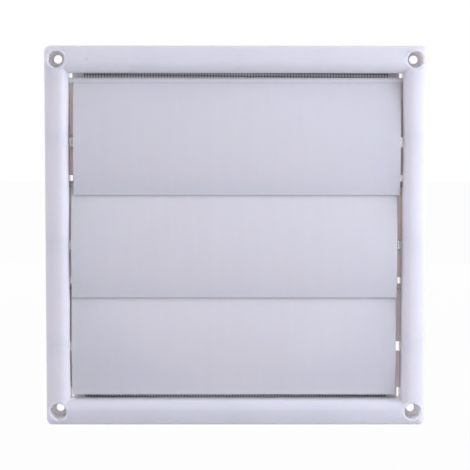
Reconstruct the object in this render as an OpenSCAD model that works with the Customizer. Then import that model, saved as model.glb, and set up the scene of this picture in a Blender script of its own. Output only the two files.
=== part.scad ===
// Square wall grille with three gravity flaps, an insect screen and a round duct spigot.
// Millimetres. The wall is the plane y = 0, the front faces -Y and +Z is up.
// The origin is the centre of the four screw holes, on the wall.

/* [Frame] */
// Width and height of the square frame
frame_w = 187; // [176:1:230]
// Depth of the frame from the wall to the crest of its bars
frame_d = 16; // [14:0.5:22]
// Width of the left and right bars
side_bar_w = 11.45; // [10.8:0.05:16]
// Width of the top and bottom bars
cross_bar_w = 12.75; // [11.8:0.05:18]
// Radius that rolls each bar down into the opening
mouth_r = 5; // [3:0.1:5.5]
// Draft of the opening's walls, in degrees
draft = 1; // [0.5:0.5:4]
// Distance of the opening's middle below the frame's middle
opening_drop = 0.6; // [0:0.05:0.8]
// Radius of the crown across the outer half of the left and right bars
crown_r = 13; // [12:1:80]
// Radius of the crown across the outer half of the top and bottom bars
cross_crown_r = 18; // [17:1:80]
// Radius of the outer front edges
edge_r = 1.5; // [0.5:0.1:2]
// Radius of the four outer corners
corner_r = 3.4; // [1:0.1:4.5]
// Wall thickness of the frame moulding
wall = 1.8; // [1.4:0.1:2.4]
// Thickness of the ribs inside the hollow bars
rib_t = 1.2; // [0.8:0.1:2]
// Distance between the ribs in the top and bottom bars
cross_rib_pitch = 42; // [30:1:60]

/* [Screw posts] */
// Distance of the screw holes from the left and right edges
screw_inset_x = 5.9; // [5.7:0.05:7]
// Distance of the screw holes from the top and bottom edges
screw_inset_z = 6.75; // [5.7:0.05:8]
// Radius of the screw hole
screw_r = 2.05; // [1.5:0.05:2.5]
// Radius of the counterbore for the screw head
head_r = 4.05; // [3.5:0.05:4.3]
// Thickness of the rounded rim round the counterbore
rim_t = 1.2; // [0.8:0.05:1.4]
// Thickness of the floor under the screw head
head_floor_t = 3.2; // [2:0.1:5]

/* [Flaps] */
// Thickness of a flap
flap_t = 1.5; // [1:0.1:2]
// Outward bow of a flap over its height
flap_bow = 3.5; // [2:0.1:5]
// Length by which a flap runs past the pivot of the flap below
flap_overlap = 4.65; // [4:0.05:8]
// Length cut from the lowest flap, which has none below it
bottom_trim = 2.05; // [0:0.05:3]
// Gap between the lowest flap and the bottom bar
bottom_gap = 1.9; // [0.8:0.05:3]
// Distance of the top pivot below the top bar
top_drop = 3.85; // [3.6:0.05:8]
// Play between a flap's end and the side bar
flap_side_gap = 1.8; // [1.2:0.05:2.5]
// Gap between a closed flap and what it rests on
rest_gap = 0.3; // [0.2:0.05:0.6]
// Radius of the bead along a flap's top edge
bead_r = 1.6; // [1.5:0.05:2]
// Sideways rest place of the top flap
top_flap_shift = 0.55; // [-1:0.05:1]
// Sideways rest place of the middle flap
middle_flap_shift = -0.7; // [-1:0.05:1]
// Sideways rest place of the bottom flap
bottom_flap_shift = -0.9; // [-1:0.05:1]

/* [Pivots] */
// Radius of the pivot pins
pin_r = 1.4; // [1.1:0.05:1.45]
// Radial clearance of a pin in its hole
pin_clear = 0.05; // [0.02:0.01:0.1]
// Length by which a centred pin stands out behind the side wall
pin_tip = 1.2; // [1.1:0.1:2]
// Length of the gusset that carries each pin
gusset_l = 13; // [8:0.5:18]
// Thickness of the gusset
gusset_t = 1.6; // [1:0.1:2.5]

/* [Side ledges] */
// Width of the ledges beside the screen
ledge_w = 6.8; // [6.2:0.05:9]
// Thickness of the ledges
ledge_t = 1.6; // [1.2:0.1:2.4]
// Width of the windows that face the stops, beside the side wall
window_w = 2.9; // [2:0.1:3.2]
// Width of the narrower windows beside the pivots and at the foot
slot_w = 1.4; // [1:0.1:2]
// Height of the windows
window_h = 4.7; // [3:0.1:6]
// Height of a pivot's window above the pivot
pivot_window_rise = 1.9; // [0:0.1:3]
// Distance of a flap's stop below its pivot
stop_drop = 30.2; // [20:0.1:36]
// Thickness of the stops
stop_t = 1.8; // [1.2:0.1:2]
// Gap behind the flaps' beads
ledge_gap = 0.6; // [0.4:0.1:2]

/* [Insect screen] */
// Thickness of the woven screen
screen_t = 0.6; // [0.4:0.05:0.9]
// Distance between the threads that are drawn
thread_pitch = 4.2; // [3.5:0.1:6]
// Width of a thread
thread_w = 0.5; // [0.3:0.05:0.8]
// Width of the screen that is clamped under the cross bars
screen_grip = 3; // [2:0.1:4]
// Columns of open cells
gap_columns = 10; // [6:1:10]
// Rows of open cells
gap_rows = 12; // [6:1:12]

/* [Duct spigot] */
// Outer radius of the spigot, which enters the duct
spigot_r = 74.5; // [70:0.1:74.8]
// Length of the spigot behind the wall plane
spigot_l = 30; // [15:1:60]
// Wall thickness of the spigot
spigot_t = 1.8; // [1.2:0.1:3]
// Chamfer of the spigot's free edge
spigot_chamfer = 0.8; // [0.3:0.1:1]
// Thickness of the back plate
plate_t = 1.6; // [1.2:0.1:2.4]
// Distance of the back plate in front of the wall
plate_recess = 1; // [0.9:0.1:2]
// Length by which the back plate runs past the screen at top and bottom
plate_margin = 3; // [2:0.1:4]
// Radius of the stakes that hold the back plate
stake_r = 1.1; // [0.8:0.05:1.2]
// Radius of a stake's melted head
stake_head_r = 1.7; // [1.4:0.05:1.7]
// Clearance round a stake
stake_clear = 0.1; // [0.05:0.05:0.2]

/* [Hidden] */
$fn = 96;
cut = 1;
// Depth at which a drafted wall starts inside the roll above it
bite = 0.01;
half_w = frame_w / 2;
open_x = half_w - side_bar_w;
open_z = half_w - cross_bar_w;
screw_x = half_w - screw_inset_x;
screw_z = half_w - screw_inset_z;

// Depths from the wall: back plate, screen, ledge, pivot
plate_y = -plate_recess - plate_t;
screen_y = plate_y - screen_t;
ledge_y = screen_y - ledge_t;
pivot_y = ledge_y - ledge_gap - bead_r;

// Flap arc: chord, radius, half angle and pitch
pitch = (2 * open_z - top_drop - bottom_gap - flap_t / 2 - flap_overlap + bottom_trim) / 3;
chord = pitch + flap_overlap;
arc_r = (chord * chord / 4 + flap_bow * flap_bow) / (2 * flap_bow);
arc_a = asin(chord / 2 / arc_r);
pivot_z = [for (i = [0:2]) open_z - opening_drop - top_drop - i * pitch];

// A flap leans out until its inner face clears the next flap's outer face
lean_step = flap_t + rest_gap;
lean = arc_a + asin((2 * arc_r * lean_step + lean_step * lean_step - pitch * pitch) / (2 * pitch * arc_r));
flap_w = 2 * (open_x - flap_side_gap);
pin_l = flap_side_gap + wall + pin_tip;

// Half width between the drafted walls at the screen
rear_x = open_x - wall_lean(screen_y);
ledge_x = rear_x - ledge_w;
window_x = rear_x - window_w;
plate_x = window_x;
plate_z = open_z + screen_grip + plate_margin;
stake_x = (ledge_x + window_x) / 2;
stake_zs = [for (i = [-1.5:1:1.5]) i * pitch * 0.86];

// How far the draft brings an opening's wall in at a depth
function wall_lean(y) =
    (y + frame_d - mouth_r * (1 - sin(draft))) * tan(draft) - mouth_r * (1 - cos(draft));

// Rear face of the lowest flap at a drop below its pivot
function rear_y(drop) =
    pivot_y + arc_r * cos(arc_a) - sqrt(pow(arc_r - flap_t / 2, 2) - pow(drop - chord / 2, 2));

module along_x(length) {
    rotate([0, -90, 0]) linear_extrude(length, center = true) children();
}

module along_z(length) {
    linear_extrude(length, center = true) children();
}

// Rounded rectangle standing on the wall plane, from y = -depth to y = back
module slab(width, height, radius, depth, back = 0) {
    translate([0, back, 0]) rotate([90, 0, 0]) linear_extrude(depth + back) {
        square([width - 2 * radius, height], center = true);
        square([width, height - 2 * radius], center = true);
        for (x = [-1, 1], z = [-1, 1])
            translate([x * (width / 2 - radius), z * (height / 2 - radius)]) circle(radius);
    }
}

// Front outline of the frame across one direction, inset by a wall, around a lowered opening
module crown_section(open, drop, radius, inset) {
    crest = open + mouth_r;
    difference() {
        intersection() {
            translate([inset - half_w, inset - frame_d])
                square([2 * (half_w - inset), frame_d - inset + cut]);
            union() {
                translate([-crest - drop, -frame_d]) square([2 * crest, frame_d + cut]);
                for (side = [-1, 1])
                    translate([side * crest - drop, radius - frame_d]) circle(radius - inset, $fn = 200);
            }
        }
        if (inset == 0) {
            edge_cut(crest - drop, radius);
            mirror([1, 0]) edge_cut(crest + drop, radius);
        }
    }
}

// What the outer front edge's rounding takes away, tangent to the crown
module edge_cut(crest, radius) {
    x = half_w - edge_r;
    lean_a = asin((x - crest) / (radius - edge_r));
    y = radius - frame_d - (radius - edge_r) * cos(lean_a);
    reach = 4 * edge_r;
    difference() {
        polygon([
            [x, y],
            [x + reach * sin(lean_a), y - reach * cos(lean_a)],
            [x + reach, y - reach],
            [x + reach, y]
        ]);
        translate([x, y]) circle(edge_r);
    }
}

// The opening between two bars, with its rolled edges, grown by a wall
module mouth_section(open, grow) {
    front = -frame_d - cut;
    roll_r = mouth_r - grow;
    centre = [open + mouth_r, mouth_r - frame_d];
    wall_start = centre - (roll_r - bite) * [cos(draft), sin(draft)];
    wall_end = wall_start + (cut - wall_start[1]) * [-tan(draft), 1];
    right = [[centre[0], front], centre, wall_start, wall_end];
    difference() {
        polygon(concat(right, [for (i = [3:-1:0]) [-right[i][0], right[i][1]]]));
        for (side = [-1, 1]) translate([side * centre[0], centre[1]]) circle(roll_r);
    }
}

module frame_form(inset) {
    intersection() {
        along_x(frame_w) crown_section(open_z, opening_drop, cross_crown_r, inset);
        along_z(frame_w) crown_section(open_x, 0, crown_r, inset);
        slab(frame_w - 2 * inset, frame_w - 2 * inset, corner_r, frame_d, cut);
    }
}

module mouth(grow) {
    intersection() {
        translate([0, 0, -opening_drop]) along_x(frame_w + cut) mouth_section(open_z, grow);
        along_z(frame_w + cut) mouth_section(open_x, grow);
    }
}

// The hollow behind the bars
module bar_hollow() {
    difference() {
        frame_form(wall);
        mouth(wall);
    }
}

module at_screws() {
    for (x = [-1, 1], z = [-1, 1]) translate([x * screw_x, 0, z * screw_z]) rotate([90, 0, 0]) children();
}

// Post with a rim rounded on its outside; its axis runs from the wall to the front
module screw_post() {
    rim_r = rim_t / 2;
    rotate_extrude() {
        square([head_r + rim_t, frame_d - rim_r]);
        square([head_r + rim_r, frame_d]);
        translate([head_r + rim_r, frame_d - rim_r]) circle(rim_r);
    }
}

module screw_bore() {
    translate([0, 0, -cut]) cylinder(r = screw_r, h = frame_d + 2 * cut);
    translate([0, 0, head_floor_t]) cylinder(r = head_r, h = frame_d);
}

module bar_ribs() {
    inner = min(open_x, open_z) + wall / 2;
    span = half_w - wall / 2 - inner;
    for (side = [-1, 1]) {
        for (z = pivot_z)
            translate([side * (inner + span / 2), screen_y / 2 - frame_d / 2, z - pitch / 2])
                cube([span, frame_d + screen_y, rib_t], center = true);
        for (i = [-1:1])
            translate([i * cross_rib_pitch, screen_y / 2 - frame_d / 2, side * (inner + span / 2)])
                cube([rib_t, frame_d + screen_y, span], center = true);
    }
}

// Stops for the closed flaps, standing on the ledges
module flap_stops() {
    foot = pivot_z[2] - chord + bottom_trim;
    for (side = [-1, 1]) {
        for (z = pivot_z) stop_block(side, z - stop_drop, window_h, rear_y(stop_drop) + rest_gap);
        stop_block(side, foot + window_h / 2, window_h, rear_y(chord - bottom_trim) + rest_gap);
    }
}

module stop_block(side, z, height, front) {
    translate([side * (window_x - stop_t / 2), (front + screen_y) / 2, z])
        cube([stop_t, screen_y - front, height], center = true);
}

module ledge_windows() {
    foot = pivot_z[2] - chord + bottom_trim;
    for (side = [-1, 1]) {
        for (z = pivot_z) {
            ledge_window(side, z - stop_drop, window_w);
            ledge_window(side, z + pivot_window_rise, slot_w);
        }
        ledge_window(side, foot, slot_w);
    }
}

module ledge_window(side, z, width) {
    translate([side * (rear_x - width / 2), ledge_y, z]) cube([width, 4 * ledge_t, window_h], center = true);
}

module ledges() {
    for (side = [-1, 1])
        translate([side * (rear_x + wall / 2 - (ledge_w + wall / 2) / 2), screen_y - ledge_t / 2, -opening_drop])
            cube([ledge_w + wall / 2, ledge_t, 2 * open_z], center = true);
}

module stakes() {
    for (side = [-1, 1], z = stake_zs) translate([side * stake_x, 0, z]) rotate([90, 0, 0]) {
        translate([0, 0, plate_recess - stake_head_r * 0.4]) cylinder(r = stake_head_r, h = stake_head_r * 0.4);
        translate([0, 0, plate_recess - stake_head_r * 0.4])
            cylinder(r = stake_r, h = -screen_y - plate_recess + stake_head_r * 0.4 + ledge_t / 2);
    }
}

module plate_seat() {
    translate([0, (screen_y + cut) / 2, 0])
        cube([2 * plate_x, cut - screen_y, 2 * (plate_z + stake_clear)], center = true);
}

module pin_holes() {
    for (z = pivot_z) translate([0, pivot_y, z]) rotate([0, 90, 0])
        cylinder(r = pin_r + pin_clear, h = 2 * (open_x + wall + mouth_r / 4), center = true);
}

module frame() {
    color("white") {
        difference() {
            union() {
                difference() {
                    frame_form(0);
                    mouth(0);
                    bar_hollow();
                    translate([0, cut, 0]) slab(2 * frame_w, 2 * frame_w, corner_r, cut);
                }
                difference() {
                    intersection() {
                        frame_form(wall / 2);
                        bar_ribs();
                    }
                    mouth(wall / 2);
                }
                ledges();
                flap_stops();
                at_screws() screw_post();
            }
            plate_seat();
            at_screws() screw_bore();
            pin_holes();
            ledge_windows();
        }
        stakes();
    }
}

// Section of a flap hung at its pivot: x is up and y is towards the wall
module flap_section(trim) {
    centre = [-chord / 2, arc_r * cos(arc_a)];
    first = -90 - arc_a + trim / arc_r * 180 / PI;
    last = -90 + arc_a;
    foot = centre + arc_r * [cos(first), sin(first)];
    intersection() {
        translate(centre) difference() {
            circle(arc_r + flap_t / 2, $fn = 360);
            circle(arc_r - flap_t / 2, $fn = 360);
        }
        polygon([centre, for (a = [first, -90, last]) centre + 2 * arc_r * [cos(a), sin(a)]]);
    }
    translate(foot) circle(flap_t / 2);
    circle(bead_r);
}

module gusset_section() {
    end_y = arc_r * cos(arc_a) - sqrt(arc_r * arc_r - pow(gusset_l - chord / 2, 2));
    polygon([[0, bead_r], [-gusset_l, end_y + flap_t / 2], [-gusset_l, end_y], [0, 0]]);
}

module flap(row, lean_angle, shift, trim) {
    color("whitesmoke") translate([shift, pivot_y, pivot_z[row]]) rotate([-lean_angle, 0, 0]) {
        along_x(flap_w) flap_section(trim);
        for (side = [-1, 1]) translate([side * (flap_w - gusset_t) / 2, 0, 0]) along_x(gusset_t) gusset_section();
        rotate([0, 90, 0]) cylinder(r = pin_r, h = flap_w + 2 * pin_l, center = true);
    }
}

module flap_top() {
    flap(0, lean, top_flap_shift, 0);
}

module flap_middle() {
    flap(1, lean, middle_flap_shift, 0);
}

module flap_bottom() {
    flap(2, 0, bottom_flap_shift, bottom_trim);
}

module insect_screen() {
    width = 2 * plate_x - thread_w;
    height = 2 * (open_z + screen_grip);
    columns = floor(width / 2 / thread_pitch);
    rows = floor(height / 2 / thread_pitch);
    ridge = screen_t / 4;
    gap = thread_pitch - 2 * thread_w;
    gap_x = 3 * thread_pitch;
    gap_z = 3 * thread_pitch;
    color("dimgray") translate([0, screen_y + screen_t / 2, 0]) difference() {
        union() {
            cube([width, screen_t - 2 * ridge, height], center = true);
            for (i = [-columns:columns])
                translate([i * thread_pitch, -screen_t / 4, 0]) cube([thread_w, screen_t / 2, height], center = true);
            for (i = [-rows:rows])
                translate([0, screen_t / 4, i * thread_pitch]) cube([width, screen_t / 2, thread_w], center = true);
        }
        for (i = [0:gap_columns - 1], j = [0:gap_rows - 1])
            translate([
                (i - (gap_columns - 1) / 2) * gap_x,
                0,
                (j - (gap_rows - 1) / 2) * gap_z
            ]) cube([gap, 2 * screen_t, gap], center = true);
        for (side = [-1, 1], z = stake_zs)
            translate([side * stake_x, 0, z]) rotate([90, 0, 0])
                cylinder(r = stake_r + stake_clear, h = 2 * screen_t, center = true);
    }
}

module duct_spigot() {
    color("white") difference() {
        union() {
            translate([0, -plate_recess, 0])
                slab(2 * plate_x - stake_clear, 2 * plate_z, corner_r, plate_t);
            rotate([-90, 0, 0]) rotate_extrude($fn = 200) polygon([
                [0, plate_y],
                [spigot_r, plate_y],
                [spigot_r, spigot_l - spigot_chamfer],
                [spigot_r - spigot_chamfer, spigot_l],
                [0, spigot_l]
            ]);
        }
        rotate([90, 0, 0]) cylinder(r = spigot_r - spigot_t, h = 4 * spigot_l, center = true, $fn = 200);
        for (side = [-1, 1], z = stake_zs)
            translate([side * stake_x, plate_y, z]) rotate([90, 0, 0])
                cylinder(r = stake_r + stake_clear, h = 4 * plate_t, center = true);
    }
}

frame();
flap_top();
flap_middle();
flap_bottom();
insect_screen();
duct_spigot();
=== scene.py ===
"""Looks of a square wall grille with three gravity flaps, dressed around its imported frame.

Everything is in metres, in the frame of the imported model: the wall is the plane y = 0,
the front faces -Y, +Z is up and the duct runs along +Y.
"""

import logging
import math
from dataclasses import dataclass
from enum import Enum

import bmesh
import bpy
from mathutils import Matrix, Vector

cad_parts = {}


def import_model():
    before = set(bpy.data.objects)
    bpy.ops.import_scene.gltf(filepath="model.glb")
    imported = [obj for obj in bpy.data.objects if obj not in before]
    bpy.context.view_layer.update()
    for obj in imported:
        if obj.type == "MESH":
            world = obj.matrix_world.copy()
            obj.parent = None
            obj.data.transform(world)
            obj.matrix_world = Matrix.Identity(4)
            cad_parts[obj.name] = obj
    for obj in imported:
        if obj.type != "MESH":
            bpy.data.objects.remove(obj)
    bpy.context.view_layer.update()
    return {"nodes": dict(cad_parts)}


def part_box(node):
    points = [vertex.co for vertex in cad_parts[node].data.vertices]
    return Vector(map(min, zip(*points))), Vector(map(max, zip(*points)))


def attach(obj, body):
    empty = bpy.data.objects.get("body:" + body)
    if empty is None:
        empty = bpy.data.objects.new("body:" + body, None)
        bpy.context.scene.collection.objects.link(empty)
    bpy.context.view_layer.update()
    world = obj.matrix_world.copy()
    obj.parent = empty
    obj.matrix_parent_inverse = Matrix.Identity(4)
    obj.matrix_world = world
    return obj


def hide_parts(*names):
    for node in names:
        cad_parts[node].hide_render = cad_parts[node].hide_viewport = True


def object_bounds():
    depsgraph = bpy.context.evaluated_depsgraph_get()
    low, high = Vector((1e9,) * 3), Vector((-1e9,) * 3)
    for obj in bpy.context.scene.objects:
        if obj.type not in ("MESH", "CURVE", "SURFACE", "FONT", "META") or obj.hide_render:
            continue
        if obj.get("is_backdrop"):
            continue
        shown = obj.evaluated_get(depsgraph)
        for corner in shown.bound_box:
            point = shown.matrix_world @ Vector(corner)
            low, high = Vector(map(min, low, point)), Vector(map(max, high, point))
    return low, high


log = logging.getLogger("grille")

Colour = tuple[float, float, float]
Triple = tuple[float, float, float]
Span = tuple[float, float]
Socket = bpy.types.NodeSocket

MM = 0.001
INCH = 25.4 * MM
PHOTO_PIXELS = 470
# Values between which a noise mostly stays
NOISE_SPAN = (0.3, 0.7)


class Body(Enum):
    """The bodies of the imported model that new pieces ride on."""

    FRAME = "frame"


class Slot(Enum):
    """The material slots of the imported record."""

    FRAME = "frame_plastic"
    FLAP = "flap_plastic"
    SCREEN = "screen_weave"
    SPIGOT = "spigot_plastic"


class Grain(Enum):
    """How a moulded surface is streaked, as stretches of a noise along X, Y and Z."""

    UPRIGHT = (1.0, 1.0, 0.04)
    NONE = (1.0, 1.0, 1.0)


class Detail(Enum):
    """How fine a noise is, in octaves."""

    SOFT = 1.0
    EVEN = 2.0
    CRISP = 3.0


class NodeTree:
    """A small wrapper that adds and links shader nodes."""

    def __init__(self, owner: bpy.types.Material | bpy.types.World) -> None:
        """Start with an empty tree.

        Args:
            owner: The material or world that the tree belongs to.
        """
        owner.use_nodes = True
        self.owner = owner
        self.tree = owner.node_tree
        self.tree.nodes.clear()

    @classmethod
    def material(cls, name: str) -> "NodeTree":
        """Start a material of the given name."""
        return cls(bpy.data.materials.new(name))

    def add(self, kind: str, **values: object) -> bpy.types.Node:
        """Add a node and set its properties.

        Args:
            kind: The node's type, without its ShaderNode prefix.
            **values: Properties of the node.

        Returns:
            The new node.
        """
        node = self.tree.nodes.new("ShaderNode" + kind)
        for key, value in values.items():
            setattr(node, key, value)
        return node

    def link(self, source: Socket, target: Socket) -> None:
        """Join an output socket to an input socket."""
        self.tree.links.new(source, target)

    def place(self) -> Socket:
        """Read the object's own coordinates, in metres."""
        return self.add("TexCoord").outputs["Object"]

    def mapped(self, place: Socket, stretch: Triple, shift: Triple = (0.0, 0.0, 0.0)) -> Socket:
        """Stretch a place along its axes and then shift it.

        Args:
            place: Socket that gives the place.
            stretch: Factor along X, Y and Z.
            shift: Way that it moves after the stretch, in metres.

        Returns:
            The socket that gives the new place.
        """
        node = self.add("Mapping", vector_type="POINT")
        node.inputs["Scale"].default_value = stretch
        node.inputs["Location"].default_value = shift
        self.link(place, node.inputs["Vector"])
        return node.outputs["Vector"]

    def distance(self, place: Socket, x: float, z: float) -> Socket:
        """Measure how far a place is from a point, seen straight from the front.

        Args:
            place: Socket that gives the place.
            x: The point's place across the grille, in metres.
            z: The point's place up the grille, in metres.

        Returns:
            The socket that gives the distance, in metres.
        """
        length = self.add("VectorMath", operation="LENGTH")
        self.link(self.mapped(place, (1.0, 0.0, 1.0), (-x, 0.0, -z)), length.inputs[0])
        return length.outputs["Value"]

    def noise(self, place: Socket, scale: float, detail: Detail = Detail.EVEN) -> Socket:
        """Add a noise over a place.

        Args:
            place: Socket that gives the place.
            scale: Repeats of the noise in a metre.
            detail: How fine it is.

        Returns:
            The socket that gives the noise, from 0 to 1.
        """
        node = self.add("TexNoise")
        node.inputs["Scale"].default_value = scale
        node.inputs["Detail"].default_value = detail.value
        self.link(place, node.inputs["Vector"])
        return node.outputs["Fac"]

    def ranged(self, value: Socket, old: Span, new: Span = (0.0, 1.0)) -> Socket:
        """Map a value from one range to another, held at the ends.

        Args:
            value: Socket that gives the value.
            old: Ends of the old range.
            new: What these ends become.

        Returns:
            The socket that gives the mapped value.
        """
        node = self.add("MapRange", clamp=True)
        for name, number in zip(("From Min", "From Max", "To Min", "To Max"), (*old, *new)):
            node.inputs[name].default_value = number
        self.link(value, node.inputs["Value"])
        return node.outputs["Result"]

    def combine(self, operation: str, first: Socket, second: Socket | float) -> Socket:
        """Combine two values.

        Args:
            operation: Name of the operation, such as MULTIPLY.
            first: Socket of the first value.
            second: Socket or number of the second value.

        Returns:
            The socket that gives the result.
        """
        node = self.add("Math", operation=operation)
        self.link(first, node.inputs[0])
        if isinstance(second, Socket):
            self.link(second, node.inputs[1])
        else:
            node.inputs[1].default_value = second
        return node.outputs[0]

    def tint(self, factor: Socket, low: Colour | Socket, high: Colour | Socket) -> Socket:
        """Mix two colours.

        Args:
            factor: Socket that gives the share of the second colour.
            low: Colour at 0, or the socket that gives it.
            high: Colour at 1, or the socket that gives it.

        Returns:
            The socket that gives the colour.
        """
        node = self.add("Mix", data_type="RGBA")
        self.link(factor, node.inputs[0])
        inputs = [socket for socket in node.inputs if socket.type == "RGBA"]
        for socket, colour in zip(inputs, (low, high)):
            if isinstance(colour, Socket):
                self.link(colour, socket)
            else:
                socket.default_value = (*colour, 1.0)
        return next(socket for socket in node.outputs if socket.type == "RGBA")

    def bump(self, height: Socket, depth: float, under: Socket | None = None) -> Socket:
        """Turn a height into a bumped normal.

        Args:
            height: Socket that gives the height from 0 to 1.
            depth: Height of the bumps, in metres.
            under: Normal that the bumps lie on.

        Returns:
            The socket that gives the normal.
        """
        node = self.add("Bump")
        node.inputs["Distance"].default_value = depth
        node.inputs["Strength"].default_value = 1.0
        self.link(height, node.inputs["Height"])
        if under is not None:
            self.link(under, node.inputs["Normal"])
        return node.outputs["Normal"]

    def close(self, shader: bpy.types.Node) -> bpy.types.Material | bpy.types.World:
        """Join the shader to the output.

        Args:
            shader: The last shader node.

        Returns:
            The finished material or world.
        """
        kind = "OutputWorld" if isinstance(self.owner, bpy.types.World) else "OutputMaterial"
        self.link(shader.outputs[0], self.add(kind).inputs["Surface"])
        return self.owner


@dataclass(frozen=True)
class Mark:
    """A faint ragged mark on a moulded surface.

    Attributes:
        x: Place across the grille, in metres.
        z: Place up the grille, in metres.
        radius: Rough size of the mark, in metres.
        strength: How far it darkens the plastic, in steps of the streaks' full contrast.
        core: Share of the radius within which it is darkest.
        end: Share of the radius beyond which it has faded out.
        ragged_scale: Unevenness of its edge, in repeats of a noise in a metre.
    """

    x: float
    z: float
    radius: float
    strength: float
    core: float = 0.5
    end: float = 1.6
    ragged_scale: float = 900.0

    def weight(self, nodes: NodeTree) -> Socket:
        """Give how far the mark darkens each place.

        Args:
            nodes: The tree to add to.

        Returns:
            The socket that gives the strength of the mark, 0 away from it.
        """
        place = nodes.place()
        ragged = nodes.combine("MULTIPLY", nodes.noise(place, self.ragged_scale), self.radius)
        edge = nodes.combine("ADD", nodes.distance(place, self.x, self.z), ragged)
        fade = (self.core * self.radius, self.end * self.radius)
        return nodes.ranged(edge, fade, (self.strength, 0.0))


@dataclass(frozen=True)
class PaintedSocketLight:
    """The four counterbores, with painted light: their plastic is painted paler than the skin,
    standing in for light that shines through their thin walls.

    Attributes:
        x: Distance of the screws from the middle across the grille, in metres.
        z: Distance of the screws from the middle up the grille, in metres.
        radius: Radius of the counterbores, in metres.
        fade: Width over which the painted light fades out, in metres.
        colour: Linear colour of the painted light in the counterbores, paler than the skin.
    """

    x: float = 87.6 * MM
    z: float = 86.75 * MM
    radius: float = 4.05 * MM
    fade: float = 0.3 * MM
    colour: Colour = (0.94, 0.925, 0.92)

    def weight(self, nodes: NodeTree) -> Socket:
        """Give the share of the painted light.

        Args:
            nodes: The tree to add to.

        Returns:
            The socket that gives the share, 1 in the counterbores.
        """
        quarter = nodes.add("VectorMath", operation="ABSOLUTE")
        nodes.link(nodes.place(), quarter.inputs[0])
        distance = nodes.distance(quarter.outputs["Vector"], self.x, self.z)
        return nodes.ranged(distance, (self.radius, self.radius + self.fade), (1.0, 0.0))


@dataclass(frozen=True)
class SatinPlastic:
    """Satin white moulded plastic with slow shade changes, streaks and a fine skin.

    Attributes:
        name: Name of the material.
        colour: Linear colour of the plastic.
        shade: Share by which the darkest streak is darker.
        mark_shade: Share by which the darkest mark is darker.
        mark_steps: How far below the darkest streak that is, in steps of their full contrast.
        grain: Direction of the streaks.
        streak_scale: Streaks in a metre.
        cloud_scale: Slow shade changes in a metre.
        roughness: Roughness of the smoothest and of the dullest places.
        polish_scale: Changes of the roughness in a metre.
        skin_scale: Grains of the fine skin in a metre.
        skin_depth: Depth of the fine skin, in metres.
        sink_scale: Slow waves left by moulding in a metre.
        sink_depth: Depth of the slow waves, in metres.
        refraction: Refractive index of the plastic.
        milk: Share of the light that enters and scatters under the skin.
        reach: How far red, green and blue light scatter under the skin, in metres.
        marks: Faint marks on the surface.
        socket_painted_light: Painted light in the counterbores, where the piece has them: paler
            colour standing in for light through their thin walls.
    """

    name: str
    colour: Colour
    shade: float = 0.035
    mark_shade: float = 0.14
    mark_steps: float = 3.0
    grain: Grain = Grain.NONE
    streak_scale: float = 260.0
    cloud_scale: float = 18.0
    roughness: Span = (0.34, 0.44)
    polish_scale: float = 182.0
    skin_scale: float = 2600.0
    skin_depth: float = 0.012 * MM
    sink_scale: float = 22.0
    sink_depth: float = 0.05 * MM
    refraction: float = 1.5
    milk: float = 0.85
    reach: Colour = (7.0 * MM, 5.4 * MM, 4.8 * MM)
    marks: tuple[Mark, ...] = ()
    socket_painted_light: PaintedSocketLight | None = None

    def build(self) -> bpy.types.Material:
        """Build the material.

        Returns:
            The finished material.
        """
        nodes = NodeTree.material(self.name)
        shader = nodes.add("BsdfPrincipled")
        shader.inputs["IOR"].default_value = self.refraction
        shader.inputs["Subsurface Weight"].default_value = self.milk
        shader.inputs["Subsurface Radius"].default_value = [length / MM for length in self.reach]
        shader.inputs["Subsurface Scale"].default_value = MM
        place = nodes.place()
        streaked = nodes.mapped(place, self.grain.value)
        nodes.link(self.stains_and_painted_light(nodes, place, streaked), shader.inputs["Base Color"])
        polish = nodes.noise(streaked, self.polish_scale)
        nodes.link(nodes.ranged(polish, NOISE_SPAN, self.roughness), shader.inputs["Roughness"])
        waves = nodes.bump(nodes.noise(place, self.sink_scale, Detail.SOFT), self.sink_depth)
        skin = nodes.bump(nodes.noise(place, self.skin_scale), self.skin_depth, waves)
        nodes.link(skin, shader.inputs["Normal"])
        return nodes.close(shader)

    def stains_and_painted_light(self, nodes: NodeTree, place: Socket, streaked: Socket) -> Socket:
        """Mix the plastic's colour with its streaks, clouds and marks, and with painted light in
        the counterbores.

        Args:
            nodes: The tree to add to.
            place: Socket that gives the place.
            streaked: Socket that gives the place stretched along the streaks.

        Returns:
            The socket that gives the colour.
        """
        streaks = nodes.ranged(nodes.noise(streaked, self.streak_scale, Detail.CRISP), NOISE_SPAN)
        clouds = nodes.ranged(nodes.noise(place, self.cloud_scale), NOISE_SPAN)
        shade = nodes.combine("MULTIPLY", nodes.combine("ADD", streaks, clouds), 0.5)
        for mark in self.marks:
            shade = nodes.combine("SUBTRACT", shade, mark.weight(nodes))
        streaky = nodes.tint(nodes.ranged(shade, (0.0, 1.0)), self.darker(self.shade), self.colour)
        marked = nodes.ranged(shade, (-self.mark_steps, 0.0), (1.0, 0.0))
        colour = nodes.tint(marked, streaky, self.darker(self.mark_shade))
        # Painted light: the counterbores are painted paler, standing in for light that shines
        # through their thin walls.
        if self.socket_painted_light is not None:
            colour = nodes.tint(self.socket_painted_light.weight(nodes), colour, self.socket_painted_light.colour)
        return colour

    def darker(self, share: float) -> Colour:
        """Give the plastic's colour with a share of it taken away."""
        return tuple(channel * (1.0 - share) for channel in self.colour)


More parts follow.
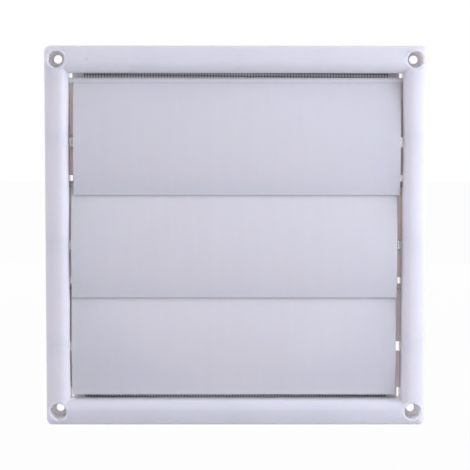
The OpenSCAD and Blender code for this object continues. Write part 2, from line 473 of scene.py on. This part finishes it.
@dataclass(frozen=True)
class CoatedThread:
    """Charcoal coating of the woven glass-fibre threads.

    Attributes:
        name: Name of the material.
        colour: Linear colour of the coating.
        worn_colour: Linear colour where the coating is thin.
        wear_scale: Thin places in a metre.
        wear_span: Values of their noise at which the coating starts and ends to thin.
        roughness: Roughness of the coating.
        skin_scale: Grains of the coating's skin in a metre.
        skin_depth: Depth of that skin, in metres.
    """

    name: str = "charcoal_coated_thread"
    colour: Colour = (0.018, 0.018, 0.02)
    worn_colour: Colour = (0.05, 0.05, 0.055)
    wear_scale: float = 400.0
    wear_span: Span = (0.45, 0.7)
    roughness: float = 0.45
    skin_scale: float = 6000.0
    skin_depth: float = 0.01 * MM

    def build(self) -> bpy.types.Material:
        """Build the material.

        Returns:
            The finished material.
        """
        nodes = NodeTree.material(self.name)
        shader = nodes.add("BsdfPrincipled")
        shader.inputs["Roughness"].default_value = self.roughness
        place = nodes.place()
        worn = nodes.ranged(nodes.noise(place, self.wear_scale, Detail.CRISP), self.wear_span)
        nodes.link(nodes.tint(worn, self.colour, self.worn_colour), shader.inputs["Base Color"])
        skin = nodes.bump(nodes.noise(place, self.skin_scale), self.skin_depth)
        nodes.link(skin, shader.inputs["Normal"])
        return nodes.close(shader)


@dataclass(frozen=True)
class StudioWhite:
    """Pale studio surface that the camera sees as white and that still takes shadows.

    Attributes:
        name: Name of the material.
        colour: Linear colour of the surface.
        glow: Share of the camera's view that is plain white.
    """

    name: str = "studio_white"
    colour: Colour = (0.5, 0.5, 0.51)
    glow: float = 0.97

    def build(self) -> bpy.types.Material:
        """Build the material.

        Returns:
            The finished material.
        """
        nodes = NodeTree.material(self.name)
        matte = nodes.add("BsdfDiffuse")
        matte.inputs["Color"].default_value = (*self.colour, 1.0)
        white = nodes.add("Emission")
        mixed = nodes.add("MixShader")
        share = nodes.combine("MULTIPLY", seen_share(nodes), self.glow)
        for source, target in zip((share, matte.outputs[0], white.outputs[0]), mixed.inputs):
            nodes.link(source, target)
        return nodes.close(mixed)


def seen_share(nodes: NodeTree) -> Socket:
    """Tell rays that see the studio, straight or in a gloss, from those that light the grille.

    Args:
        nodes: The tree to add to.

    Returns:
        The socket that gives 1 for a camera, glossy or transmission ray.
    """
    path = nodes.add("LightPath").outputs
    gloss = nodes.combine("MAXIMUM", path["Is Glossy Ray"], path["Is Transmission Ray"])
    return nodes.combine("MAXIMUM", gloss, path["Is Camera Ray"])


def direction(azimuth: float, elevation: float) -> Vector:
    """Give the way from the grille, by angles to the right of the front and over the level."""
    level = math.cos(elevation)
    return Vector((math.sin(azimuth) * level, -math.cos(azimuth) * level, math.sin(elevation)))


def facing_back(way: Vector) -> Matrix:
    """Give the turn of a light or camera that stands that way and looks back."""
    return way.to_track_quat("Z", "Y").to_matrix().to_4x4()


def linked_object(
    name: str, mesh: bmesh.types.BMesh, material: bpy.types.Material
) -> bpy.types.Object:
    """Turn a finished bmesh into an object at the origin.

    Args:
        name: Name of the piece.
        mesh: The shape, freed by this call.
        material: Finish of the piece.

    Returns:
        The new object.
    """
    data = bpy.data.meshes.new(name)
    mesh.to_mesh(data)
    mesh.free()
    data.materials.append(material)
    for polygon in data.polygons:
        polygon.use_smooth = True
    piece = bpy.data.objects.new(name, data)
    bpy.context.scene.collection.objects.link(piece)
    return piece


@dataclass(frozen=True)
class PlainWeave:
    """A patch of waved threads, each of which passes in front of and behind the others by turns.

    Attributes:
        columns: Upright threads.
        rows: Level threads.
        warp_pitch: Distance between the upright threads, in metres.
        weft_pitch: Distance between the level threads, in metres.
        centre: Middle of the patch.
        turn: Angle by which it was laid in askew, clockwise from the front.
        thread: Thickness of a thread, in metres.
        sides: Faces round a thread.
    """

    columns: int
    rows: int
    warp_pitch: float
    weft_pitch: float
    centre: Vector
    turn: float = math.radians(0.6)
    thread: float = 0.28 * MM
    sides: int = 6

    def upright_threads(self) -> bmesh.types.BMesh:
        """Weave the upright threads, in their place."""
        return self.placed(self.threads(self.columns, self.warp_pitch, self.rows, self.weft_pitch))

    def level_threads(self) -> bmesh.types.BMesh:
        """Weave the level threads, in their place.

        Returns:
            The set, made upright and laid over.
        """
        mesh = self.threads(self.rows, self.weft_pitch, self.columns, self.warp_pitch)
        quarter = Matrix.Rotation(math.radians(90), 3, "Y")
        bmesh.ops.rotate(mesh, verts=mesh.verts[:], matrix=quarter)
        return self.placed(mesh)

    def both_sets(self) -> bmesh.types.BMesh:
        """Weave both sets of threads as one mesh.

        Returns:
            The patch, in its place.
        """
        patch = self.upright_threads()
        level = self.level_threads()
        data = bpy.data.meshes.new("level_threads")
        level.to_mesh(data)
        level.free()
        patch.from_mesh(data)
        bpy.data.meshes.remove(data)
        return patch

    def threads(self, count: int, pitch: float, crossings: int, step: float) -> bmesh.types.BMesh:
        """Weave one set of threads along Z, around the origin.

        Args:
            count: Threads in the set, rounded up to whole pairs.
            pitch: Distance between the threads.
            crossings: Threads that each one crosses.
            step: Distance between the crossings.

        Returns:
            The set.
        """
        mesh = bmesh.new()
        self.add_thread(mesh, crossings, step, -1)
        bmesh.ops.translate(mesh, verts=mesh.verts[:], vec=(-pitch, 0, 0))
        self.add_thread(mesh, crossings, step, 1)
        pair = mesh.verts[:] + mesh.edges[:] + mesh.faces[:]
        pairs = (count + 1) // 2
        for index in range(1, pairs):
            copy = bmesh.ops.duplicate(mesh, geom=pair)["geom"]
            verts = [item for item in copy if isinstance(item, bmesh.types.BMVert)]
            bmesh.ops.translate(mesh, verts=verts, vec=(2 * index * pitch, 0, 0))
        middle = (pairs - 1.5) * pitch
        bmesh.ops.translate(mesh, verts=mesh.verts[:], vec=(-middle, 0, 0))
        return mesh

    def add_thread(
        self, mesh: bmesh.types.BMesh, crossings: int, step: float, side: int
    ) -> None:
        """Add one waved thread that rises along Z, closed at both ends.

        Args:
            mesh: The mesh to add to, which is closed so far.
            crossings: Threads that it crosses.
            step: Distance between the crossings.
            side: -1 where it starts at the front of the weave, and 1 at the back.
        """
        radius = self.thread / 2
        ring = bmesh.ops.create_circle(
            mesh, cap_ends=True, segments=self.sides, radius=radius
        )["verts"]
        bmesh.ops.translate(mesh, verts=ring, vec=(0, side * radius, -crossings * step / 2))
        face = ring[0].link_faces[0]
        for _ in range(crossings):
            face = bmesh.ops.extrude_discrete_faces(mesh, faces=[face])["faces"][0]
            side = -side
            bmesh.ops.translate(mesh, verts=face.verts[:], vec=(0, 2 * side * radius, step))
        foot = [edge for edge in mesh.edges if edge.is_boundary]
        bmesh.ops.holes_fill(mesh, edges=foot)

    def placed(self, mesh: bmesh.types.BMesh) -> bmesh.types.BMesh:
        """Lay a set of threads askew into its place.

        Args:
            mesh: The set around the origin.

        Returns:
            The same set, with its faces pointing outwards.
        """
        askew = Matrix.Rotation(self.turn, 3, "Y")
        bmesh.ops.rotate(mesh, verts=mesh.verts[:], matrix=askew)
        bmesh.ops.translate(mesh, verts=mesh.verts[:], vec=self.centre)
        bmesh.ops.recalc_face_normals(mesh, faces=mesh.faces[:])
        return mesh


@dataclass(frozen=True)
class FrayedEdge:
    """A place where the screen's cut edge overhangs a window and its threads bunch up.

    Attributes:
        name: Name of the piece.
        side: -1 at the left edge and 1 at the right edge.
        z: Height of the window's middle, in metres.
        pitch: Distance between the bunched threads, in metres.
    """

    name: str
    side: int
    z: float
    pitch: float


@dataclass
class InsectScreen:
    """Woven screen of coated threads, clamped between the ledges and the back plate.

    Attributes:
        warp_pitch: Distance between the upright threads, 18 to the inch.
        weft_pitch: Distance between the level threads, 16 to the inch.
        margin: Width of the clamped edge left free of threads, in metres.
        overhang: Width by which a frayed edge stands out into its window, in metres.
        fray_height: Height of a frayed edge, a little more than its window's, in metres.
        frays: The frayed edges.
    """

    warp_pitch: float = INCH / 18
    weft_pitch: float = INCH / 16
    margin: float = 0.9 * MM
    overhang: float = 3.0 * MM
    fray_height: float = 6.4 * MM
    frays: tuple[FrayedEdge, ...] = (
        FrayedEdge("screen_frayed_left", -1, 46.0 * MM, 0.55 * MM),
        FrayedEdge("screen_frayed_right", 1, -4.7 * MM, 0.75 * MM),
    )

    def build(self) -> None:
        """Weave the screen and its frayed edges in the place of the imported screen."""
        low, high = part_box("insect_screen")
        centre = (low + high) / 2
        columns = int((high.x - low.x - 2 * self.margin) / self.warp_pitch)
        rows = int((high.z - low.z - 2 * self.margin) / self.weft_pitch)
        weave = PlainWeave(columns, rows, self.warp_pitch, self.weft_pitch, centre)
        meshes = {
            "screen_upright_threads": weave.upright_threads(),
            "screen_level_threads": weave.level_threads(),
        }
        for fray in self.frays:
            meshes[fray.name] = self.bunched(fray, high.x, centre.y).both_sets()
        material = CoatedThread().build()
        for name, mesh in meshes.items():
            piece = linked_object(name, mesh, material)
            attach(piece, Body.FRAME.value)
            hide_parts("insect_screen")
            log.info("%s: %d faces", name, len(piece.data.polygons))

    def bunched(self, fray: FrayedEdge, edge: float, depth: float) -> PlainWeave:
        """Lay out a small bunched patch on the screen's edge.

        Args:
            fray: The frayed edge.
            edge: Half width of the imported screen.
            depth: Place of the screen's middle along Y.

        Returns:
            The patch, an even number of columns wide.
        """
        columns = 2 * math.ceil((self.overhang + self.margin) / (2 * fray.pitch))
        rows = int(self.fray_height / fray.pitch)
        x = fray.side * (edge + self.overhang - columns * fray.pitch / 2)
        return PlainWeave(columns, rows, fray.pitch, fray.pitch, Vector((x, depth, fray.z)))


@dataclass
class Moulding:
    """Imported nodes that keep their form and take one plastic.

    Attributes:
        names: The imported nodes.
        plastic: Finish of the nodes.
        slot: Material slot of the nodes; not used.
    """

    names: tuple[str, ...]
    plastic: SatinPlastic
    slot: Slot

    def dress(self, nodes: dict[str, bpy.types.Object]) -> None:
        """Give the nodes their finish.

        Args:
            nodes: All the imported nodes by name.
        """
        material = self.plastic.build()
        for name in self.names:
            node = nodes[name]
            if not node.material_slots:
                node.data.materials.append(material)
            for slot in node.material_slots:
                slot.material = material
            log.info("%s: %d faces", name, len(node.data.polygons))


@dataclass
class FrameMoulding(Moulding):
    """The frame: one hollow moulding with four counterbored screw posts."""

    names: tuple[str, ...] = ("frame",)
    plastic: SatinPlastic = SatinPlastic(
        "frame_satin_white",
        (0.825, 0.79, 0.78),
        marks=(Mark(-72.7 * MM, 86.6 * MM, 0.9 * MM, 3.5),),
        # Painted light: paler colour in the counterbores stands in for light through their thin
        # walls.
        socket_painted_light=PaintedSocketLight(),
    )
    slot: Slot = Slot.FRAME


@dataclass
class GravityFlaps(Moulding):
    """The three flaps: thin blades that were moulded alike."""

    names: tuple[str, ...] = ("flap_top", "flap_middle", "flap_bottom")
    plastic: SatinPlastic = SatinPlastic(
        "flap_satin_white",
        (0.755, 0.74, 0.73),
        grain=Grain.UPRIGHT,
        reach=(2.3 * MM, 1.9 * MM, 1.6 * MM),
        marks=(
            Mark(31.0 * MM, 57.0 * MM, 2.2 * MM, 0.8),
            Mark(30.0 * MM, 1.5 * MM, 1.6 * MM, 0.6),
        ),
    )
    slot: Slot = Slot.FLAP


@dataclass
class DuctSpigot(Moulding):
    """The back plate with its round collar."""

    names: tuple[str, ...] = ("duct_spigot",)
    plastic: SatinPlastic = SatinPlastic(
        "spigot_satin_white",
        (0.765, 0.77, 0.775),
        reach=(2.4 * MM, 2.4 * MM, 2.4 * MM),
    )
    slot: Slot = Slot.SPIGOT


@dataclass(frozen=True)
class SoftBox:
    """A square area light that points at the middle of the grille.

    Attributes:
        name: Name of the light.
        azimuth: Its direction from the middle, in degrees to the right of the front.
        elevation: Its height over the level, in degrees.
        distance: Its distance, in metres.
        size: Its width and height, in metres.
        power: Its power in red, green and blue, in watts.
    """

    name: str
    azimuth: float
    elevation: float
    distance: float
    size: float
    power: Colour

    def build(self) -> None:
        """Add the light."""
        data = bpy.data.lights.new(self.name, "AREA")
        data.shape = "SQUARE"
        data.size = self.size
        data.energy = max(self.power)
        data.color = [channel / data.energy for channel in self.power]
        way = direction(math.radians(self.azimuth), math.radians(self.elevation))
        light = bpy.data.objects.new(self.name, data)
        light.matrix_world = Matrix.Translation(self.distance * way) @ facing_back(way)
        bpy.context.scene.collection.objects.link(light)


@dataclass
class Studio:
    """Camera, floor and lights around the grille.

    Attributes:
        focal_pixels: Focal length in pixels of the photo.
        distance: Distance of the camera from the point that it looks at, in metres.
        azimuth: Turn of the camera to the right of the grille's middle, in radians.
        elevation: Height of the camera over the level, in radians.
        roll: Turn of the camera about its own axis, in radians.
        aim: Point that the camera looks at.
        clip: Nearest and furthest distance that the camera sees, in metres.
        sensor: Width of the camera's sensor, in millimetres.
        floor_drop: Distance of the floor below the grille, in metres.
        floor_reach: Half width of the floor, in metres.
        soft_light: Light of the surroundings on the grille.
        white: What the camera and a gloss see of the surroundings.
        boxes: The soft boxes around the grille.
    """

    focal_pixels: float = 1900.0
    distance: float = 0.9477
    azimuth: float = math.radians(-0.365)
    elevation: float = math.radians(5.043)
    roll: float = math.radians(0.061)
    aim: Triple = (-0.3 * MM, 0.0, -0.4 * MM)
    clip: Span = (0.05, 20.0)
    sensor: float = 36.0
    floor_drop: float = 60 * MM
    floor_reach: float = 3.0
    soft_light: Colour = (0.60, 0.60, 0.67)
    white: Colour = (1.0, 1.0, 1.0)
    boxes: tuple[SoftBox, ...] = (
        SoftBox("key_light", 61.0, 14.0, 0.6, 0.5, (2.3, 2.45, 3.1)),
        SoftBox("left_light", -70.0, 10.0, 1.3, 0.6, (2.3, 2.3, 3.5)),
        SoftBox("back_light", 180.0, 10.0, 1.3, 1.6, (12.0, 11.0, 11.0)),
    )

    def build(self) -> None:
        """Set up the camera, the floor, the lights and the world."""
        self.add_camera()
        self.add_floor()
        for box in self.boxes:
            box.build()
        self.add_world()

    def add_camera(self) -> None:
        """Place the camera at the photo's viewing angle."""
        data = bpy.data.cameras.new("camera")
        data.sensor_width = self.sensor
        data.lens = self.focal_pixels / PHOTO_PIXELS * self.sensor
        data.clip_start, data.clip_end = self.clip
        camera = bpy.data.objects.new("camera", data)
        way = direction(self.azimuth, self.elevation)
        turn = facing_back(way) @ Matrix.Rotation(self.roll, 4, "Z")
        camera.matrix_world = Matrix.Translation(Vector(self.aim) + way * self.distance) @ turn
        bpy.context.scene.collection.objects.link(camera)
        bpy.context.scene.camera = camera

    def add_floor(self) -> None:
        """Add the pale floor below the grille."""
        low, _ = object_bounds()
        mesh = bmesh.new()
        bmesh.ops.create_grid(mesh, x_segments=1, y_segments=1, size=self.floor_reach)
        bmesh.ops.translate(mesh, verts=mesh.verts[:], vec=(0, 0, low[2] - self.floor_drop))
        linked_object("floor", mesh, StudioWhite().build())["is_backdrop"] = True

    def add_world(self) -> None:
        """Surround the grille with soft light that the camera sees as white."""
        nodes = NodeTree(bpy.data.worlds.new("studio"))
        mixed = nodes.add("MixShader")
        nodes.link(seen_share(nodes), mixed.inputs[0])
        for colour, target in zip((self.soft_light, self.white), mixed.inputs[1:]):
            background = nodes.add("Background")
            background.inputs["Color"].default_value = (*colour, 1.0)
            nodes.link(background.outputs[0], target)
        bpy.context.scene.world = nodes.close(mixed)
        bpy.context.scene.view_settings.view_transform = "Standard"


def main() -> None:
    """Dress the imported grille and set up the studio."""
    logging.basicConfig(level=logging.INFO, format="%(name)s: %(message)s")
    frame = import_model()
    for moulding in (FrameMoulding(), GravityFlaps(), DuctSpigot()):
        moulding.dress(frame["nodes"])
    InsectScreen().build()
    Studio().build()


if __name__ == "__main__":
    main()
